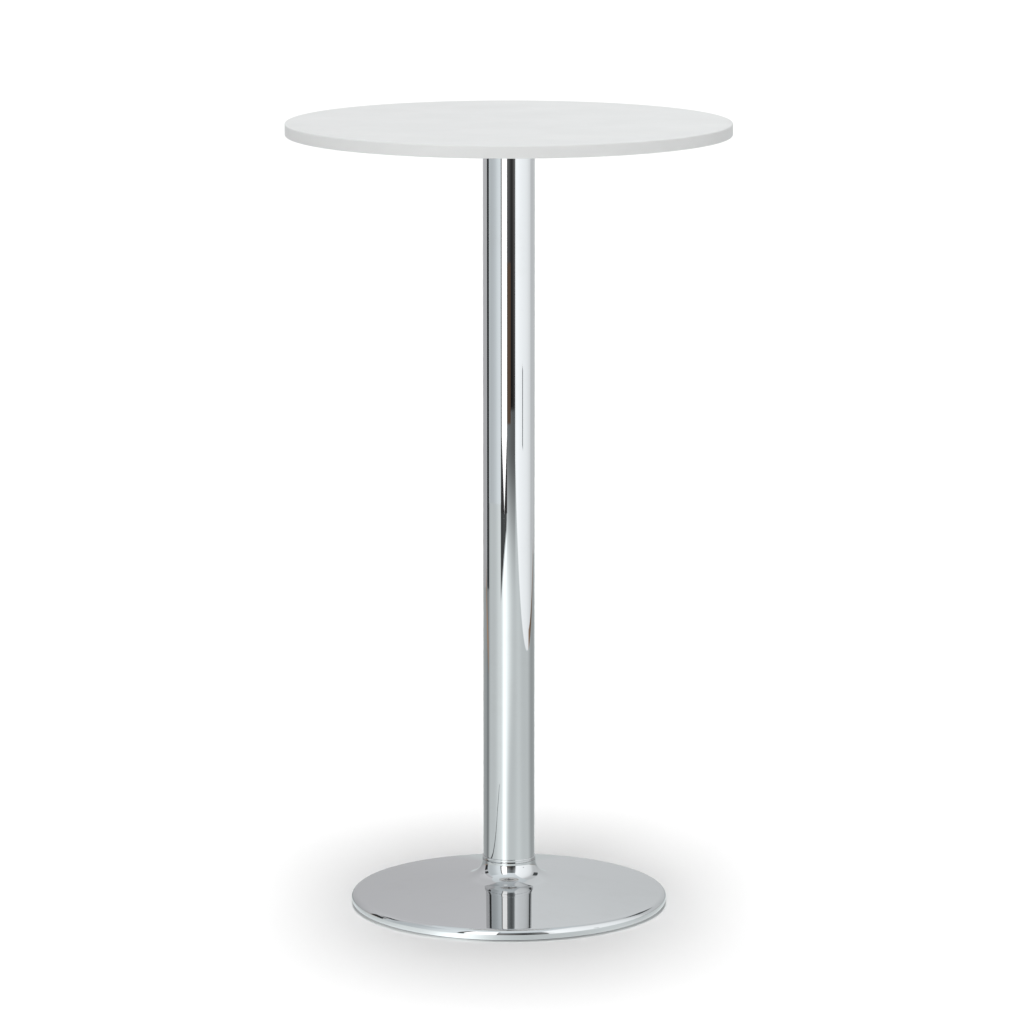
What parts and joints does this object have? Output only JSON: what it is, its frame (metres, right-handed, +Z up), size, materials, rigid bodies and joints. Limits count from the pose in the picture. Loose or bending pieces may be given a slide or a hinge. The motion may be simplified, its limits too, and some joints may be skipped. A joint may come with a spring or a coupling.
{
  "type": "bistro table",
  "caption": "Bar-height bistro table: round white laminated top, chromed tube column, chromed disc base with trumpet neck and levelling glides.",
  "frame": {"origin": "centre of the footprint, on the floor", "axes": "+Z up along the column; the table is round, so +X and +Y are free, with the levelling glides on the diagonals"},
  "size_m": [0.5999, 0.6, 1.075],
  "materials": {
    "mdf": "raw fibreboard",
    "white_laminate": "matt fine texture",
    "white_edge": "satin",
    "chrome": "polished",
    "zinc_steel": "zinc plated",
    "black_paint": "powder coat",
    "cast_iron": "primed casting",
    "black_rubber": "matt",
    "black_nylon": "satin"
  },
  "bodies": {
    "table": {"tabletop_core": "mdf", "top_laminate": "white_laminate", "backing_laminate": "white_laminate", "edge_band": "white_edge", "insert_nuts": "zinc_steel", "spider_plate": "black_paint", "spider_screws": "zinc_steel", "column_tube": "chrome", "column_ring": "chrome", "column_foot": "zinc_steel", "tie_rod": "zinc_steel", "rod_top_nut": "zinc_steel", "rod_bottom_nut": "zinc_steel", "rod_lock_washer": "zinc_steel", "rod_washer": "zinc_steel", "base_cover": "chrome", "ballast_plate": "cast_iron", "floor_ring": "black_rubber", "glide_bushes": "zinc_steel"},
    "glide_1_pad": {"glide_1_foot": "black_nylon"},
    "glide_1_screw": {"glide_1_stud": "zinc_steel"},
    "glide_2_pad": {"glide_2_foot": "black_nylon"},
    "glide_2_screw": {"glide_2_stud": "zinc_steel"},
    "glide_3_pad": {"glide_3_foot": "black_nylon"},
    "glide_3_screw": {"glide_3_stud": "zinc_steel"},
    "glide_4_pad": {"glide_4_foot": "black_nylon"},
    "glide_4_screw": {"glide_4_stud": "zinc_steel"}
  },
  "joints": [
    {"name": "glide_1_lift", "type": "slide", "parent": "table", "child": "glide_1_pad", "axis": [0, 0, -1], "range_m": [0, 0.0038]},
    {"name": "glide_1_turn", "type": "hinge", "parent": "glide_1_pad", "child": "glide_1_screw", "pos_m": [0.11667, 0.11667, 0.0054], "axis": [0, 0, -1], "range_deg": [0, 1080]},
    {"name": "glide_2_lift", "type": "slide", "parent": "table", "child": "glide_2_pad", "axis": [0, 0, -1], "range_m": [0, 0.0038]},
    {"name": "glide_2_turn", "type": "hinge", "parent": "glide_2_pad", "child": "glide_2_screw", "pos_m": [-0.11667, 0.11667, 0.0054], "axis": [0, 0, -1], "range_deg": [0, 1080]},
    {"name": "glide_3_lift", "type": "slide", "parent": "table", "child": "glide_3_pad", "axis": [0, 0, -1], "range_m": [0, 0.0038]},
    {"name": "glide_3_turn", "type": "hinge", "parent": "glide_3_pad", "child": "glide_3_screw", "pos_m": [-0.11667, -0.11667, 0.0054], "axis": [0, 0, -1], "range_deg": [0, 1080]},
    {"name": "glide_4_lift", "type": "slide", "parent": "table", "child": "glide_4_pad", "axis": [0, 0, -1], "range_m": [0, 0.0038]},
    {"name": "glide_4_turn", "type": "hinge", "parent": "glide_4_pad", "child": "glide_4_screw", "pos_m": [0.11667, -0.11667, 0.0054], "axis": [0, 0, -1], "range_deg": [0, 1080]}
  ],
  "couplings": [
    {"joint": "glide_1_lift", "follows": "glide_1_turn", "m_per_rad": 0.00019894},
    {"joint": "glide_2_lift", "follows": "glide_2_turn", "m_per_rad": 0.00019894},
    {"joint": "glide_3_lift", "follows": "glide_3_turn", "m_per_rad": 0.00019894},
    {"joint": "glide_4_lift", "follows": "glide_4_turn", "m_per_rad": 0.00019894}
  ]
}
